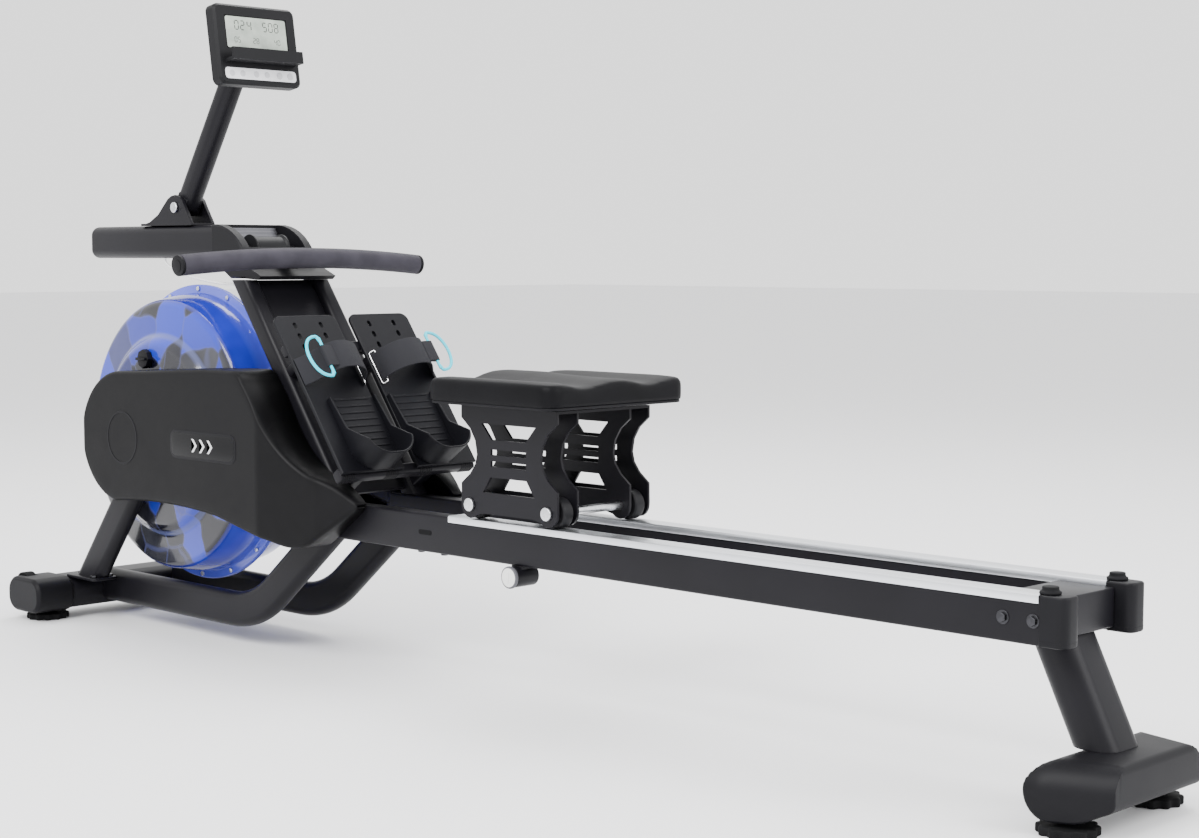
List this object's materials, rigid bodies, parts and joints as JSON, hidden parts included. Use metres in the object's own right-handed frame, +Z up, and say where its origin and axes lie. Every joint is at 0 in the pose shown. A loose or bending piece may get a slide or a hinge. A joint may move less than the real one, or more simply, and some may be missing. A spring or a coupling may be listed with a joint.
{
  "type": "rowing machine",
  "caption": "Water-resistance rowing machine: twin rails with a rolling seat, blue water tank under side covers, foot plates with straps, pull handle and a console on a leaning mast.",
  "frame": {"origin": "on the floor, in the middle of the machine's length and width", "axes": "+X runs from the water tank to the rear foot, +Y to the side of the strap drum, which is the rower's right, +Z up"},
  "size_m": [2.212, 0.5032, 1.078],
  "materials": {
    "frame_paint": "satin powder coat",
    "moulded_black": "fine matt texture",
    "cover_black": "mottled matt texture",
    "foot_rubber": "matt",
    "track_aluminium": "extruded, clear anodised",
    "axle_steel": "zinc plated",
    "tank_blue": "polished, translucent",
    "paddle_plastic": "moulded",
    "roller_plastic": "smooth",
    "ring_cyan": "semi-gloss",
    "knob_white": "gloss",
    "key_grey": "satin",
    "handle_foam": "closed-cell foam",
    "webbing": "woven",
    "seat_skin": "soft moulded skin"
  },
  "bodies": {
    "frame": {"rail_left": "frame_paint", "rail_right": "frame_paint", "rear_leg": "frame_paint", "front_stabiliser": "frame_paint", "side_loop_left": "frame_paint", "side_loop_right": "frame_paint", "upright_left": "frame_paint", "upright_right": "frame_paint", "boom": "frame_paint", "mast_bracket": "frame_paint", "incline_frame": "frame_paint", "rail_cap_left": "moulded_black", "rail_cap_right": "moulded_black", "rear_stabiliser": "moulded_black", "front_cap_left": "moulded_black", "front_cap_right": "moulded_black", "head_housing": "moulded_black", "footplate_left": "moulded_black", "footplate_right": "moulded_black", "shroud_left": "cover_black", "shroud_right": "cover_black", "seat_stop_left": "foot_rubber", "seat_stop_right": "foot_rubber", "sensor_cable": "foot_rubber", "track_left": "track_aluminium", "track_right": "track_aluminium", "tank_shell_left": "tank_blue", "tank_shell_right": "tank_blue", "foot_strap_left": "webbing", "foot_strap_right": "webbing"},
    "seat": {"seat_pad": "seat_skin", "seat_carriage": "frame_paint", "axle_front": "axle_steel", "axle_rear": "axle_steel"},
    "handle": {"handle_bar": "moulded_black", "handle_foam": "handle_foam", "drive_strap": "webbing"},
    "head_roller": {"head_roller": "roller_plastic"},
    "drum": {"drive_pulley": "moulded_black"},
    "paddle": {"paddle_wheel": "paddle_plastic"},
    "mast": {"mast": "frame_paint"},
    "console": {"console_body": "moulded_black"},
    "key_up": {"key_up": "key_grey"},
    "key_down": {"key_down": "key_grey"},
    "fill_plug": {"fill_plug": "moulded_black"},
    "lock_knob": {"lock_knob": "knob_white"},
    "roller_front_left": {"roller_front_left": "roller_plastic"},
    "roller_front_right": {"roller_front_right": "roller_plastic"},
    "roller_rear_left": {"roller_rear_left": "roller_plastic"},
    "roller_rear_right": {"roller_rear_right": "roller_plastic"},
    "rear_foot_left": {"rear_foot_left": "foot_rubber"},
    "rear_foot_right": {"rear_foot_right": "foot_rubber"},
    "front_foot_left": {"front_foot_left": "foot_rubber"},
    "front_foot_right": {"front_foot_right": "foot_rubber"},
    "transport_wheel_left": {"transport_wheel_left": "foot_rubber"},
    "transport_wheel_right": {"transport_wheel_right": "foot_rubber"},
    "heel_cup_left": {"heel_cup_left": "moulded_black"},
    "heel_cup_right": {"heel_cup_right": "moulded_black"},
    "pull_ring_left": {"pull_ring_left": "ring_cyan"},
    "pull_ring_right": {"pull_ring_right": "ring_cyan"}
  },
  "joints": [
    {"name": "seat_slide", "type": "slide", "parent": "frame", "child": "seat", "axis": [1, 0, 0], "range_m": [-0.03, 0.77]},
    {"name": "roller_front_left_turn", "type": "hinge", "parent": "seat", "child": "roller_front_left", "pos_m": [0.03, -0.0738, 0.2906], "axis": [0, 1, 0], "range_deg": [-80, 2010]},
    {"name": "roller_front_right_turn", "type": "hinge", "parent": "seat", "child": "roller_front_right", "pos_m": [0.03, 0.0738, 0.2906], "axis": [0, 1, 0], "range_deg": [-80, 2010]},
    {"name": "roller_rear_left_turn", "type": "hinge", "parent": "seat", "child": "roller_rear_left", "pos_m": [0.193, -0.0738, 0.2906], "axis": [0, 1, 0], "range_deg": [-80, 2010]},
    {"name": "roller_rear_right_turn", "type": "hinge", "parent": "seat", "child": "roller_rear_right", "pos_m": [0.193, 0.0738, 0.2906], "axis": [0, 1, 0], "range_deg": [-80, 2010]},
    {"name": "handle_pull", "type": "slide", "parent": "frame", "child": "handle", "axis": [1, 0, 0], "range_m": [0, 1.2]},
    {"name": "head_roller_turn", "type": "hinge", "parent": "frame", "child": "head_roller", "pos_m": [-0.596, 0, 0.668], "axis": [0, 1, 0], "range_deg": [-3440, 2]},
    {"name": "drum_turn", "type": "hinge", "parent": "frame", "child": "drum", "pos_m": [-0.788, 0.1495, 0.343], "axis": [0, 1, 0], "range_deg": [-1720, 2]},
    {"name": "paddle_spin", "type": "hinge", "parent": "frame", "child": "paddle", "pos_m": [-0.788, 0, 0.343], "axis": [0, 1, 0], "continuous": true},
    {"name": "mast_fold", "type": "hinge", "parent": "frame", "child": "mast", "pos_m": [-0.828, 0, 0.741], "axis": [0, 1, 0], "range_deg": [-35, 10]},
    {"name": "console_tilt", "type": "hinge", "parent": "mast", "child": "console", "pos_m": [-0.66165, 0, 0.99309], "axis": [0, 1, 0], "range_deg": [-15, 15]},
    {"name": "key_up_press", "type": "slide", "parent": "console", "child": "key_up", "axis": [-0.9877, 0, -0.1564], "range_m": [0, 0.0012], "stiffness_N_per_m": 400, "springref_m": -0.0005},
    {"name": "key_down_press", "type": "slide", "parent": "console", "child": "key_down", "axis": [-0.9877, 0, -0.1564], "range_m": [0, 0.0012], "stiffness_N_per_m": 400, "springref_m": -0.0005},
    {"name": "rear_foot_left_turn", "type": "hinge", "parent": "frame", "child": "rear_foot_left", "pos_m": [1.044, -0.094, 0.006], "axis": [0, 0, 1], "continuous": true},
    {"name": "rear_foot_right_turn", "type": "hinge", "parent": "frame", "child": "rear_foot_right", "pos_m": [1.044, 0.094, 0.006], "axis": [0, 0, 1], "continuous": true},
    {"name": "front_foot_left_turn", "type": "hinge", "parent": "frame", "child": "front_foot_left", "pos_m": [-1.031, -0.176, 0.006], "axis": [0, 0, 1], "continuous": true},
    {"name": "front_foot_right_turn", "type": "hinge", "parent": "frame", "child": "front_foot_right", "pos_m": [-1.031, 0.176, 0.006], "axis": [0, 0, 1], "continuous": true},
    {"name": "transport_wheel_left_spin", "type": "hinge", "parent": "frame", "child": "transport_wheel_left", "pos_m": [-1.062, -0.198, 0.06], "axis": [0, 1, 0], "continuous": true},
    {"name": "transport_wheel_right_spin", "type": "hinge", "parent": "frame", "child": "transport_wheel_right", "pos_m": [-1.062, 0.198, 0.06], "axis": [0, 1, 0], "continuous": true},
    {"name": "heel_cup_left_adjust", "type": "slide", "parent": "frame", "child": "heel_cup_left", "axis": [-0.5948, 0, 0.8039], "range_m": [-0.02, 0.02]},
    {"name": "heel_cup_right_adjust", "type": "slide", "parent": "frame", "child": "heel_cup_right", "axis": [-0.5948, 0, 0.8039], "range_m": [-0.02, 0.02]},
    {"name": "pull_ring_left_swing", "type": "hinge", "parent": "frame", "child": "pull_ring_left", "pos_m": [-0.19465, -0.1096, 0.36986], "axis": [-0.5948, 0, 0.8039], "range_deg": [-60, 60]},
    {"name": "pull_ring_right_swing", "type": "hinge", "parent": "frame", "child": "pull_ring_right", "pos_m": [-0.19465, 0.1096, 0.36986], "axis": [-0.5948, 0, 0.8039], "range_deg": [-60, 60]},
    {"name": "fill_plug_turn", "type": "hinge", "parent": "frame", "child": "fill_plug", "pos_m": [-0.808, -0.105, 0.476], "axis": [0, 1, 0], "range_deg": [0, 90]},
    {"name": "lock_knob_turn", "type": "hinge", "parent": "frame", "child": "lock_knob", "pos_m": [0.118, -0.09, 0.192], "axis": [0, 1, 0], "range_deg": [0, 180]}
  ],
  "couplings": [
    {"joint": "roller_front_left_turn", "follows": "seat_slide", "rad_per_m": 45.455},
    {"joint": "roller_front_right_turn", "follows": "seat_slide", "rad_per_m": 45.455},
    {"joint": "roller_rear_left_turn", "follows": "seat_slide", "rad_per_m": 45.455},
    {"joint": "roller_rear_right_turn", "follows": "seat_slide", "rad_per_m": 45.455},
    {"joint": "head_roller_turn", "follows": "handle_pull", "rad_per_m": -50},
    {"joint": "drum_turn", "follows": "handle_pull", "rad_per_m": -25}
  ]
}
